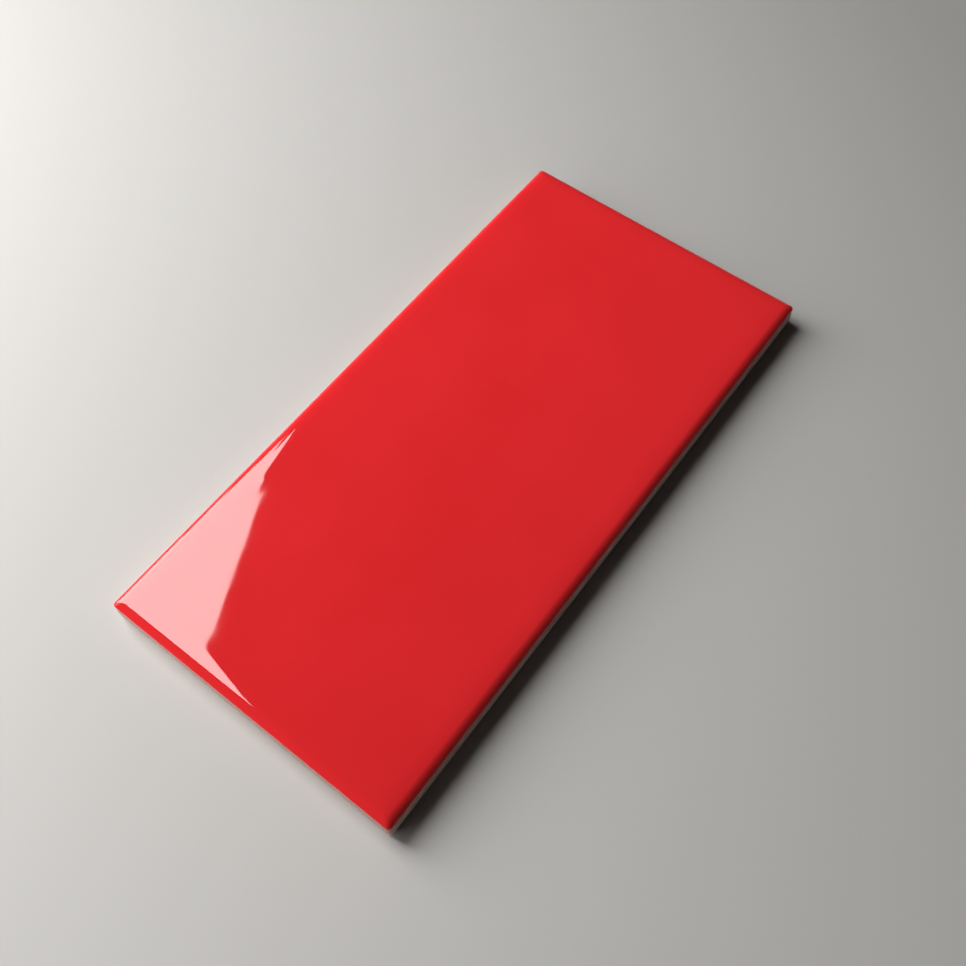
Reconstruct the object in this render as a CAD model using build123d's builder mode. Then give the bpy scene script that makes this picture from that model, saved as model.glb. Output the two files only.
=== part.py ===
"""A glazed ceramic wall tile: one fired piece with a cushioned glossy face, pressed sides and a keyed back.

The tile lies on its back. The origin is the centre of the back, +X runs along the length and +Z points out
of the glazed face. All sizes are in millimetres.
"""

import math
import os

from build123d import *

# Overall size, at the widest line of the sides
length = 148.0
width = 73.0
thickness = 6.5

# Pressed sides: rounded corners, the slope towards the face and the relief above the back
corner_radius = 0.8
side_draft = 0.2
relief_height = 1.2
relief_inset = 0.6

# Face: flat in the middle, a gentle cushion, then a rounded edge that ends in a crisp line on the side
cushion_reach = 4.7
cushion_drop = 0.12
edge_reach = 1.95
edge_drop = 1.15

# Keyed back: shallow square pockets between ribs, inside a plain border
back_border = 5.0
rib_width = 2.2
pocket_depth = 0.6
pocket_taper = 25.0
pockets_along = 12
pockets_across = 6

# Slopes of the sides above and below their widest line, in degrees
side_height = thickness - relief_height
draft_angle = math.degrees(math.atan2(side_draft, side_height))
relief_angle = math.degrees(math.atan2(relief_inset, relief_height))


def face_section(plane, span):
    """The region under the line of the face over that span, upright in the plane, from the back up."""
    end = span / 2
    flat = end - cushion_reach
    knee = end - edge_reach
    knee_height = thickness - cushion_drop
    end_height = knee_height - edge_drop
    with BuildSketch(plane) as section:
        with BuildLine():
            Line((0, thickness), (flat, thickness))
            cushion = TangentArc((flat, thickness), (knee, knee_height), tangent=(1, 0))
            TangentArc((knee, knee_height), (end, end_height), tangent=cushion % 1)
            Polyline((end, end_height), (end, 0), (0, 0))
            mirror(about=Plane.YZ)
        make_face()
    return section.sketch


def pocket_size(span, count):
    """The mouth of one pocket when that many of them, with ribs between, fill the span inside the border."""
    inside = span - 2 * (relief_inset + back_border)
    return (inside - (count - 1) * rib_width) / count


with BuildPart() as tile:
    # The pressed body, drawn in above and below its widest line
    with BuildSketch(Plane.XY.offset(relief_height)) as outline:
        RectangleRounded(length, width, corner_radius)
    extrude(outline.sketch, amount=side_height, taper=draft_angle)
    extrude(outline.sketch, amount=-relief_height, taper=relief_angle)

    # The face, trimmed across the width and then along the length
    extrude(face_section(Plane.YZ, width), amount=length / 2, both=True, mode=Mode.INTERSECT)
    extrude(face_section(Plane.XZ, length), amount=width / 2, both=True, mode=Mode.INTERSECT)

    # Pockets of the keyed back
    pocket_along = pocket_size(length, pockets_along)
    pocket_across = pocket_size(width, pockets_across)
    pitch_along = pocket_along + rib_width
    pitch_across = pocket_across + rib_width
    with BuildSketch(Plane.XY) as pockets:
        with GridLocations(pitch_along, pitch_across, pockets_along, pockets_across):
            Rectangle(pocket_along, pocket_across)
    extrude(pockets.sketch, amount=pocket_depth, taper=pocket_taper, mode=Mode.SUBTRACT)

tile.part.label = "tile"

os.makedirs("parts", exist_ok=True)
export_step(tile.part, "parts/tile.step")
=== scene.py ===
"""Looks of the glazed wall tile: a glossy red glaze over a pale biscuit body, in soft light from one side."""

import math

import bmesh
import bpy
from mathutils import Matrix, Vector


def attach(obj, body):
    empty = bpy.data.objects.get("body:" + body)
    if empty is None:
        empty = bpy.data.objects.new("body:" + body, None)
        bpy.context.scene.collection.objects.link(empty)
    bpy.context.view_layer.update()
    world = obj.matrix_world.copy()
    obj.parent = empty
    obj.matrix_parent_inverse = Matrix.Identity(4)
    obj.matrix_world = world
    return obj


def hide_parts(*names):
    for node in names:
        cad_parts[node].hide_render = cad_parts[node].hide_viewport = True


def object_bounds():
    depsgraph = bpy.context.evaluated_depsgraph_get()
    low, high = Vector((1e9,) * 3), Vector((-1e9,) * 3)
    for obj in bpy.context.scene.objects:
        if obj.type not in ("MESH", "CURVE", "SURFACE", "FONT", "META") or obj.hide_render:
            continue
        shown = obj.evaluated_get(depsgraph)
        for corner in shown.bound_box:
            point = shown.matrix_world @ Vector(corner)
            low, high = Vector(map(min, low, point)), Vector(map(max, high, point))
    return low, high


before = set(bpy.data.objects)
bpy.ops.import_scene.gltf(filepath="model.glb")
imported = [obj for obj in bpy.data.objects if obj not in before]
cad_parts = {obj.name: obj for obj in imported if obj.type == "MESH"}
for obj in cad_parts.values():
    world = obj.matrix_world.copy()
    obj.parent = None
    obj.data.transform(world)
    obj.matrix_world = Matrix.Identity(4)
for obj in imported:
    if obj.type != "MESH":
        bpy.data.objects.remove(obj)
cad_low, cad_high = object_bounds()

# Sizes of the tile, in metres, as in the CAD part
MM = 0.001
HALF_LENGTH = (cad_high.x - cad_low.x) / 2
HALF_WIDTH = (cad_high.y - cad_low.y) / 2
THICKNESS = cad_high.z - cad_low.z
CORNER_RADIUS = 0.8 * MM
SIDE_DRAFT = 0.2 * MM
RELIEF_HEIGHT = 1.2 * MM
RELIEF_INSET = 0.6 * MM
CUSHION_REACH = 4.7 * MM
CUSHION_DROP = 0.12 * MM
EDGE_REACH = 1.95 * MM
EDGE_DROP = 1.15 * MM
BACK_BORDER = 5.0 * MM
RIB_WIDTH = 2.2 * MM
POCKET_DEPTH = 0.6 * MM
POCKET_TAPER = math.radians(25.0)
POCKETS_ALONG = 12
POCKETS_ACROSS = 6

# Fine relief: the glaze softens the line between edge and side, its lower end wanders a little, and it
# stands a trace higher in a low ridge around the flat middle
GLAZE_LIP_RADIUS = 0.3 * MM
GLAZE_LINE_BELOW_LIP = 0.1 * MM
GLAZE_LINE_WANDER = 0.12 * MM
LONG_WAVES = (9.3 * MM, 7.1 * MM)
LONG_WAVE_PHASES = (0.7, 2.1)
LONG_WAVE_SHARE = 0.4
MIDDLE_WAVES = (3.7 * MM, 4.3 * MM)
MIDDLE_WAVE_SHARE = 0.4
SHORT_WAVES = (1.3 * MM, 1.1 * MM)
SHORT_WAVE_PHASE = 1.2
SHORT_WAVE_SHARE = 0.2
RIDGE_REACH = 3.0 * MM
RIDGE_RISE = 0.008 * MM

# Detail of the mesh
CORNER_STEPS = 12
LONG_STEPS = 90
SHORT_STEPS = 45
EDGE_STEPS = 12
LIP_STEPS = 5
CUSHION_STEPS = 10
RIDGE_STEPS = 8
SHARP_ANGLE = math.radians(30.0)
GLAZE_SLOT = 0
BISCUIT_SLOT = 1

# Noise textures: their plain roughness, and the part of their range over which a finish changes
NOISE_ROUGHNESS = 0.5
NOISE_LOW = 0.3
NOISE_HIGH = 0.7

# Glaze: faint clouds of its colour, a sheen that varies a little, and slow waves in its surface
GLAZE_DEEPER = (0.775, 0.023, 0.027)
GLAZE_LIGHTER = (0.815, 0.026, 0.031)
CLOUD_SCALE = 45.0
CLOUD_DETAIL = 3.0
SHEEN_SMOOTHEST = 0.015
SHEEN_DULLEST = 0.035
SHEEN_SCALE = 160.0
SHEEN_DETAIL = 2.0
GLAZE_IOR = 1.59
WAVE_SCALE = 60.0
WAVE_DETAIL = 1.0
WAVE_STRENGTH = 0.25
WAVE_HEIGHT = 0.06 * MM

# Biscuit: mottled colour, a dull surface and fine grain
BISCUIT_DEEPER = (0.57, 0.39, 0.33)
BISCUIT_LIGHTER = (0.65, 0.46, 0.40)
MOTTLE_SCALE = 220.0
MOTTLE_DETAIL = 5.0
MOTTLE_ROUGHNESS = 0.6
BISCUIT_ROUGHNESS = 0.85
BISCUIT_SPECULAR = 0.3
GRAIN_SCALE = 2500.0
GRAIN_DETAIL = 4.0
GRAIN_ROUGHNESS = 0.65
GRAIN_STRENGTH = 0.35
GRAIN_HEIGHT = 0.1 * MM

# Redder sides: the heights between which the biscuit's tint grows, and the tint at the upper one
RED_TINT_FOOT = 2.4 * MM
RED_TINT_HEAD = 4.9 * MM
RED_TINT_TOP = (0.94, 0.62, 0.60)

# Floor, in metres: its colour is painted paler along one azimuth, towards the lamps, as painted light and
# shade between two places on it; further out it fades to white between two distances from the middle
WHITE = (1.0, 1.0, 1.0)
FLOOR_HALF_SPAN = 4.0
FLOOR_GAP = 0.02 * MM
FLOOR_ROUGHNESS = 0.9
FLOOR_SPECULAR = 0.2
PAINTED_LIGHT_AZIMUTH = math.radians(156.0)
PAINTED_SHADE_PLACE = -0.18
PAINTED_LIGHT_PLACE = 0.12
FLOOR_IN_PAINTED_SHADE = (0.38, 0.375, 0.367)
FLOOR_IN_PAINTED_LIGHT = (0.69, 0.682, 0.666)
FADE_START = 0.26
FADE_END = 0.56

# World: a weak even fill
FILL_COLOUR = (1.0, 0.98, 0.95)
FILL_STRENGTH = 0.016

# Lights: a tall key panel in strips, each given by its right end and its bottom, all up to one level top
LAMP_COLOUR = (1.0, 0.985, 0.97)
KEY_AZIMUTH = math.radians(114.4)
KEY_DISTANCE = 0.363
KEY_TOP = 0.90
KEY_RADIANCE = 8.6
KEY_LEFT = -0.02
KEY_STRIPS = ((0.167, 0.08), (0.217, 0.13), (0.263, 0.25), (0.317, 0.377), (0.356, 0.497), (0.396, 0.617))

# Lights: a foot panel in line with the key panel, at its left, and a low panel further round
FOOT_SPAN = (-0.19, KEY_LEFT)
FOOT_HEIGHTS = (0.024, 0.225)
FOOT_RADIANCE = 1.5
LOW_AZIMUTH = math.radians(155.0)
LOW_DISTANCE = 0.32
LOW_SPAN = (-0.11, 0.20)
LOW_HEIGHTS = (0.005, 0.12)
LOW_RADIANCE = 3.4

# Camera, with its sensor and lens in millimetres
SENSOR_WIDTH = 36.0
LENS = 38.84
CLIP_START = 0.01
CLIP_END = 20.0
CAMERA_PLACE = (-88.31 * MM, -71.87 * MM, 201.64 * MM)
CAMERA_TURN = (math.radians(28.049), math.radians(0.698), math.radians(-52.629))


def outline(inset, radius):
    """Points of the tile's outline, drawn in by the inset, with rounded corners."""
    half_x = HALF_LENGTH - inset - radius
    half_y = HALF_WIDTH - inset - radius
    corners = ((half_x, half_y, 0), (-half_x, half_y, 90), (-half_x, -half_y, 180), (half_x, -half_y, 270))
    points = []
    for index, (x, y, first_angle) in enumerate(corners):
        for step in range(CORNER_STEPS + 1):
            angle = math.radians(first_angle + 90 * step / CORNER_STEPS)
            points.append(Vector((x + radius * math.cos(angle), y + radius * math.sin(angle))))
        next_x, next_y, next_angle = corners[(index + 1) % len(corners)]
        angle = math.radians(next_angle)
        next_point = Vector((next_x + radius * math.cos(angle), next_y + radius * math.sin(angle)))
        steps = LONG_STEPS if index % 2 == 0 else SHORT_STEPS
        begin = points[-1]
        points.extend(begin.lerp(next_point, step / steps) for step in range(1, steps))
    return points


def side_inset(height):
    """How far the side is drawn in, above its widest line, at that height."""
    return SIDE_DRAFT * (height - RELIEF_HEIGHT) / (THICKNESS - RELIEF_HEIGHT)


def face_section():
    """The section of the face as insets and heights, from the top of the side to the flat middle."""
    run = CUSHION_REACH - EDGE_REACH
    knee_height = THICKNESS - CUSHION_DROP
    knee_slope = 2 * math.atan2(CUSHION_DROP, run)
    chord_slope = math.atan2(EDGE_DROP, EDGE_REACH)
    edge_radius = math.hypot(EDGE_REACH, EDGE_DROP) / (2 * math.sin(chord_slope - knee_slope))
    side_slope = math.pi / 2 - math.atan2(SIDE_DRAFT, THICKNESS - RELIEF_HEIGHT)
    side_at = side_inset(knee_height - EDGE_DROP)
    lip_sine = (edge_radius * math.sin(knee_slope) + EDGE_REACH - side_at - GLAZE_LIP_RADIUS) / (
        edge_radius - GLAZE_LIP_RADIUS
    )
    lip_slope = math.asin(lip_sine)

    section = []
    for step in range(RIDGE_STEPS):
        share = step / RIDGE_STEPS
        climb = share * share * (3 - 2 * share)
        section.append((CUSHION_REACH + RIDGE_REACH * (1 - share), THICKNESS - RIDGE_RISE * (1 - climb)))
    for step in range(CUSHION_STEPS + 1):
        slope = knee_slope * step / CUSHION_STEPS
        radius = run / math.sin(knee_slope)
        inset = CUSHION_REACH - radius * math.sin(slope)
        section.append((inset, THICKNESS - radius * (1 - math.cos(slope))))
    for step in range(1, EDGE_STEPS + 1):
        slope = knee_slope + (lip_slope - knee_slope) * step / EDGE_STEPS
        inset = EDGE_REACH - edge_radius * (math.sin(slope) - math.sin(knee_slope))
        section.append((inset, knee_height - edge_radius * (math.cos(knee_slope) - math.cos(slope))))
    lip_inset, lip_height = section[-1]
    for step in range(1, LIP_STEPS + 1):
        slope = lip_slope + (side_slope - lip_slope) * step / LIP_STEPS
        inset = lip_inset - GLAZE_LIP_RADIUS * (math.sin(slope) - math.sin(lip_slope))
        section.append((inset, lip_height - GLAZE_LIP_RADIUS * (math.cos(lip_slope) - math.cos(slope))))
    return section[::-1]


def glaze_line_wander(x, y):
    """How far the lower end of the glaze strays from its mean height at that place on the outline."""
    long_wave = math.sin(x / LONG_WAVES[0] + LONG_WAVE_PHASES[0])
    long_wave += math.sin(y / LONG_WAVES[1] + LONG_WAVE_PHASES[1])
    middle_wave = math.sin(x / MIDDLE_WAVES[0] + y / MIDDLE_WAVES[1])
    short_wave = math.sin(x / SHORT_WAVES[0] - y / SHORT_WAVES[1] + SHORT_WAVE_PHASE)
    share = LONG_WAVE_SHARE * long_wave + MIDDLE_WAVE_SHARE * middle_wave + SHORT_WAVE_SHARE * short_wave
    return GLAZE_LINE_WANDER * share


def tile_rings():
    """Rings of points from the foot of the back up the sides, over the rounded edge and on to the flat face.

    Also gives the number of rings up to and with the one at the lower end of the glaze.
    """
    section = face_section()
    lip_end = section[0][1]
    rings = [
        [(*point, 0.0) for point in outline(RELIEF_INSET, CORNER_RADIUS - RELIEF_INSET)],
        [(*point, RELIEF_HEIGHT) for point in outline(0.0, CORNER_RADIUS)],
    ]
    line_height = lip_end - 2 * GLAZE_LINE_WANDER - GLAZE_LINE_BELOW_LIP
    line = outline(side_inset(line_height), CORNER_RADIUS)
    rings.append([(*point, line_height + glaze_line_wander(point.x, point.y)) for point in line])
    bare_rings = len(rings)
    for inset, height in section:
        rings.append([(*point, height) for point in outline(inset, CORNER_RADIUS)])
    return rings, bare_rings


def grid_lines(half_span, count):
    """Where the pockets of the back begin and end along one direction."""
    inside = 2 * (half_span - RELIEF_INSET - BACK_BORDER)
    pocket = (inside - (count - 1) * RIB_WIDTH) / count
    lines = []
    for index in range(count):
        begin = -inside / 2 + index * (pocket + RIB_WIDTH)
        lines.extend((begin, begin + pocket))
    return lines


def add_back(mesh, foot_ring):
    """The keyed back: a border inside the foot ring, ribs, and tapered pockets between them."""
    lines_x = grid_lines(HALF_LENGTH, POCKETS_ALONG)
    lines_y = grid_lines(HALF_WIDTH, POCKETS_ACROSS)
    draw_in = POCKET_DEPTH * math.tan(POCKET_TAPER)
    grid = [[mesh.verts.new((x, y, 0.0)) for x in lines_x] for y in lines_y]
    for row in range(len(lines_y) - 1):
        for column in range(len(lines_x) - 1):
            this_row = grid[row]
            next_row = grid[row + 1]
            mouth = (this_row[column], next_row[column], next_row[column + 1], this_row[column + 1])
            if row % 2 or column % 2:
                mesh.faces.new(mouth).material_index = BISCUIT_SLOT
                continue
            middle = sum((vertex.co for vertex in mouth), Vector()) / len(mouth)
            floor = []
            for vertex in mouth:
                x = vertex.co.x - math.copysign(draw_in, vertex.co.x - middle.x)
                y = vertex.co.y - math.copysign(draw_in, vertex.co.y - middle.y)
                floor.append(mesh.verts.new((x, y, POCKET_DEPTH)))
            mesh.faces.new(floor).material_index = BISCUIT_SLOT
            for index in range(len(mouth)):
                following = (index + 1) % len(mouth)
                wall = (mouth[index], mouth[following], floor[following], floor[index])
                mesh.faces.new(wall).material_index = BISCUIT_SLOT
    border = grid[0] + [row[-1] for row in grid[1:-1]] + grid[-1][::-1] + [row[0] for row in grid[-2:0:-1]]
    loops = []
    for loop in (border, foot_ring):
        for index, vertex in enumerate(loop):
            pair = (vertex, loop[(index + 1) % len(loop)])
            loops.append(mesh.edges.get(pair) or mesh.edges.new(pair))
    made = bmesh.ops.triangle_fill(mesh, edges=loops, use_beauty=True, normal=(0, 0, -1))
    for item in made["geom"]:
        if isinstance(item, bmesh.types.BMFace):
            item.material_index = BISCUIT_SLOT


def make_tile(glaze, biscuit):
    """One fired piece, with the glaze on its face and rounded edge and bare biscuit below."""
    rings, bare_rings = tile_rings()
    mesh = bmesh.new()
    vertex_rings = [[mesh.verts.new(point) for point in ring] for ring in rings]
    for index in range(len(vertex_rings) - 1):
        lower = vertex_rings[index]
        upper = vertex_rings[index + 1]
        for place in range(len(lower)):
            following = (place + 1) % len(lower)
            face = mesh.faces.new((lower[place], lower[following], upper[following], upper[place]))
            face.material_index = BISCUIT_SLOT if index < bare_rings - 1 else GLAZE_SLOT
    mesh.faces.new(vertex_rings[-1]).material_index = GLAZE_SLOT
    add_back(mesh, vertex_rings[0])
    bmesh.ops.recalc_face_normals(mesh, faces=mesh.faces)
    for face in mesh.faces:
        face.smooth = True
    data = bpy.data.meshes.new("tile_fired")
    mesh.to_mesh(data)
    mesh.free()
    data.set_sharp_from_angle(angle=SHARP_ANGLE)
    data.materials.append(glaze)
    data.materials.append(biscuit)
    piece = bpy.data.objects.new("tile_fired", data)
    bpy.context.collection.objects.link(piece)
    return piece


def new_material(name):
    """A new material, with its nodes and its links."""
    material = bpy.data.materials.new(name)
    material.use_nodes = True
    return material, material.node_tree.nodes, material.node_tree.links


def noise(nodes, links, coordinates, scale, detail, roughness=NOISE_ROUGHNESS):
    """A noise texture in object space."""
    node = nodes.new("ShaderNodeTexNoise")
    node.inputs["Scale"].default_value = scale
    node.inputs["Detail"].default_value = detail
    node.inputs["Roughness"].default_value = roughness
    links.new(coordinates.outputs["Object"], node.inputs["Vector"])
    return node


def ramp(nodes, links, source, stops):
    """A colour ramp over a factor, with two stops of position and linear colour."""
    node = nodes.new("ShaderNodeValToRGB")
    for element, (position, colour) in zip(node.color_ramp.elements, stops):
        element.position = position
        element.color = (*colour, 1.0)
    links.new(source, node.inputs["Fac"])
    return node


def spread(nodes, links, texture, low, high):
    """A colour ramp over the middle part of a noise texture's range, between two linear colours."""
    return ramp(nodes, links, texture.outputs["Fac"], ((NOISE_LOW, low), (NOISE_HIGH, high)))


def bump(nodes, links, source, strength, distance):
    """A bump from a texture's factor."""
    node = nodes.new("ShaderNodeBump")
    node.inputs["Strength"].default_value = strength
    node.inputs["Distance"].default_value = distance
    links.new(source, node.inputs["Height"])
    return node


def make_glaze():
    """Smooth, glassy red glaze, with faint clouding of its colour and slow waves in its surface."""
    material, nodes, links = new_material("red_glaze")
    shader = nodes["Principled BSDF"]
    coordinates = nodes.new("ShaderNodeTexCoord")
    cloud = noise(nodes, links, coordinates, CLOUD_SCALE, CLOUD_DETAIL)
    colour = spread(nodes, links, cloud, GLAZE_DEEPER, GLAZE_LIGHTER)
    links.new(colour.outputs["Color"], shader.inputs["Base Color"])
    sheen = noise(nodes, links, coordinates, SHEEN_SCALE, SHEEN_DETAIL)
    dullness = spread(nodes, links, sheen, (SHEEN_SMOOTHEST,) * 3, (SHEEN_DULLEST,) * 3)
    links.new(dullness.outputs["Color"], shader.inputs["Roughness"])
    shader.inputs["IOR"].default_value = GLAZE_IOR
    waves = noise(nodes, links, coordinates, WAVE_SCALE, WAVE_DETAIL)
    slow = bump(nodes, links, waves.outputs["Fac"], WAVE_STRENGTH, WAVE_HEIGHT)
    links.new(slow.outputs["Normal"], shader.inputs["Normal"])
    return material


def make_biscuit():
    """Matt, grainy fired clay, pinkish cream with faint mottling, redder towards the top of the sides."""
    material, nodes, links = new_material("pale_biscuit")
    shader = nodes["Principled BSDF"]
    coordinates = nodes.new("ShaderNodeTexCoord")
    mottle = noise(nodes, links, coordinates, MOTTLE_SCALE, MOTTLE_DETAIL, MOTTLE_ROUGHNESS)
    colour = spread(nodes, links, mottle, BISCUIT_DEEPER, BISCUIT_LIGHTER)
    height = nodes.new("ShaderNodeSeparateXYZ")
    links.new(coordinates.outputs["Object"], height.inputs["Vector"])
    share = nodes.new("ShaderNodeMapRange")
    share.inputs["From Min"].default_value = RED_TINT_FOOT
    share.inputs["From Max"].default_value = RED_TINT_HEAD
    links.new(height.outputs["Z"], share.inputs["Value"])
    # The sides grow redder and darker towards their top, between two heights
    red_tint = ramp(nodes, links, share.outputs["Result"], ((0.0, WHITE), (1.0, RED_TINT_TOP)))
    tinted = nodes.new("ShaderNodeVectorMath")
    tinted.operation = "MULTIPLY"
    links.new(colour.outputs["Color"], tinted.inputs[0])
    links.new(red_tint.outputs["Color"], tinted.inputs[1])
    links.new(tinted.outputs["Vector"], shader.inputs["Base Color"])
    shader.inputs["Roughness"].default_value = BISCUIT_ROUGHNESS
    shader.inputs["Specular IOR Level"].default_value = BISCUIT_SPECULAR
    grain = noise(nodes, links, coordinates, GRAIN_SCALE, GRAIN_DETAIL, GRAIN_ROUGHNESS)
    rough = bump(nodes, links, grain.outputs["Fac"], GRAIN_STRENGTH, GRAIN_HEIGHT)
    links.new(rough.outputs["Normal"], shader.inputs["Normal"])
    return material


def make_floor():
    """A floor with painted light, paler towards the lamps, that keeps the tile's shadow and fades to white
    far off.
    """
    half = FLOOR_HALF_SPAN
    data = bpy.data.meshes.new("floor")
    corners = [(-half, -half, 0.0), (half, -half, 0.0), (half, half, 0.0), (-half, half, 0.0)]
    data.from_pydata(corners, [], [(0, 1, 2, 3)])
    material, nodes, links = new_material("floor_with_painted_light")
    shader = nodes["Principled BSDF"]
    shader.inputs["Roughness"].default_value = FLOOR_ROUGHNESS
    shader.inputs["Specular IOR Level"].default_value = FLOOR_SPECULAR
    coordinates = nodes.new("ShaderNodeTexCoord")
    # Painted light: the floor's colour is paler towards the lamps and dimmer away from them, as their light
    # falls off
    along = nodes.new("ShaderNodeVectorMath")
    along.operation = "DOT_PRODUCT"
    along.inputs[1].default_value = (math.cos(PAINTED_LIGHT_AZIMUTH), math.sin(PAINTED_LIGHT_AZIMUTH), 0.0)
    links.new(coordinates.outputs["Object"], along.inputs[0])
    shade = nodes.new("ShaderNodeMapRange")
    shade.inputs["From Min"].default_value = PAINTED_SHADE_PLACE
    shade.inputs["From Max"].default_value = PAINTED_LIGHT_PLACE
    links.new(along.outputs["Value"], shade.inputs["Value"])
    colour = ramp(nodes, links, shade.outputs["Result"], ((0.0, FLOOR_IN_PAINTED_SHADE), (1.0, FLOOR_IN_PAINTED_LIGHT)))
    links.new(colour.outputs["Color"], shader.inputs["Base Color"])
    reach = nodes.new("ShaderNodeVectorMath")
    reach.operation = "LENGTH"
    links.new(coordinates.outputs["Object"], reach.inputs[0])
    fade = nodes.new("ShaderNodeMapRange")
    fade.interpolation_type = "SMOOTHSTEP"
    fade.inputs["From Min"].default_value = FADE_START
    fade.inputs["From Max"].default_value = FADE_END
    links.new(reach.outputs["Value"], fade.inputs["Value"])
    path = nodes.new("ShaderNodeLightPath")
    seen = nodes.new("ShaderNodeMath")
    seen.operation = "MULTIPLY"
    links.new(fade.outputs["Result"], seen.inputs[0])
    links.new(path.outputs["Is Camera Ray"], seen.inputs[1])
    white = nodes.new("ShaderNodeEmission")
    white.inputs["Color"].default_value = (*WHITE, 1.0)
    white.inputs["Strength"].default_value = 1.0
    choose = nodes.new("ShaderNodeMixShader")
    links.new(seen.outputs["Value"], choose.inputs["Fac"])
    links.new(shader.outputs["BSDF"], choose.inputs[1])
    links.new(white.outputs["Emission"], choose.inputs[2])
    links.new(choose.outputs["Shader"], nodes["Material Output"].inputs["Surface"])
    data.materials.append(material)
    floor = bpy.data.objects.new("floor", data)
    bpy.context.collection.objects.link(floor)
    floor.location.z = cad_low.z - FLOOR_GAP


def make_world():
    """White where the camera looks past the floor, and a weak even fill for all other light."""
    world = bpy.data.worlds.new("studio")
    bpy.context.scene.world = world
    world.use_nodes = True
    nodes = world.node_tree.nodes
    links = world.node_tree.links
    fill = nodes["Background"]
    fill.inputs["Color"].default_value = (*FILL_COLOUR, 1.0)
    fill.inputs["Strength"].default_value = FILL_STRENGTH
    white = nodes.new("ShaderNodeBackground")
    white.inputs["Color"].default_value = (*WHITE, 1.0)
    white.inputs["Strength"].default_value = 1.0
    path = nodes.new("ShaderNodeLightPath")
    choose = nodes.new("ShaderNodeMixShader")
    links.new(path.outputs["Is Camera Ray"], choose.inputs["Fac"])
    links.new(fill.outputs["Background"], choose.inputs[1])
    links.new(white.outputs["Background"], choose.inputs[2])
    links.new(choose.outputs["Shader"], nodes["World Output"].inputs["Surface"])


def upright_panel(name, azimuth, distance, across, heights, radiance, mirrored=True):
    """An upright soft panel that faces the tile from that azimuth, with its span across and its heights."""
    outward = Vector((math.cos(azimuth), math.sin(azimuth), 0.0))
    rightward = Vector((math.sin(azimuth), -math.cos(azimuth), 0.0))
    upward = Vector((0.0, 0.0, 1.0))
    width = across[1] - across[0]
    height = heights[1] - heights[0]
    light = bpy.data.lights.new(name, "AREA")
    light.shape = "RECTANGLE"
    light.size = width
    light.size_y = height
    light.energy = radiance * math.pi * width * height
    light.color = LAMP_COLOUR
    panel = bpy.data.objects.new(name, light)
    middle = outward * distance + rightward * sum(across) / 2 + upward * sum(heights) / 2
    turn = Matrix((-rightward, upward, outward)).transposed().to_4x4()
    panel.matrix_world = Matrix.Translation(middle) @ turn
    panel.visible_glossy = mirrored
    bpy.context.collection.objects.link(panel)


def make_lights():
    """A tall soft panel that is mirrored across the left corner, and two low panels to its left.

    The glaze does not mirror the last of them, which lifts the light on the sides and the floor.
    """
    left = KEY_LEFT
    for right, bottom in KEY_STRIPS:
        upright_panel("key_panel", KEY_AZIMUTH, KEY_DISTANCE, (left, right), (bottom, KEY_TOP), KEY_RADIANCE)
        left = right
    upright_panel("foot_panel", KEY_AZIMUTH, KEY_DISTANCE, FOOT_SPAN, FOOT_HEIGHTS, FOOT_RADIANCE)
    upright_panel("low_panel", LOW_AZIMUTH, LOW_DISTANCE, LOW_SPAN, LOW_HEIGHTS, LOW_RADIANCE, mirrored=False)


def make_camera():
    """The photographer's view, from above the near left, looking down at the tile."""
    data = bpy.data.cameras.new("camera")
    data.sensor_width = SENSOR_WIDTH
    data.lens = LENS
    data.clip_start = CLIP_START
    data.clip_end = CLIP_END
    camera = bpy.data.objects.new("camera", data)
    camera.location = CAMERA_PLACE
    camera.rotation_euler = CAMERA_TURN
    bpy.context.collection.objects.link(camera)
    bpy.context.scene.camera = camera


tile = make_tile(make_glaze(), make_biscuit())
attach(tile, "root")
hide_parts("tile")
make_floor()
make_world()
make_lights()
make_camera()
bpy.context.scene.view_settings.view_transform = "Standard"
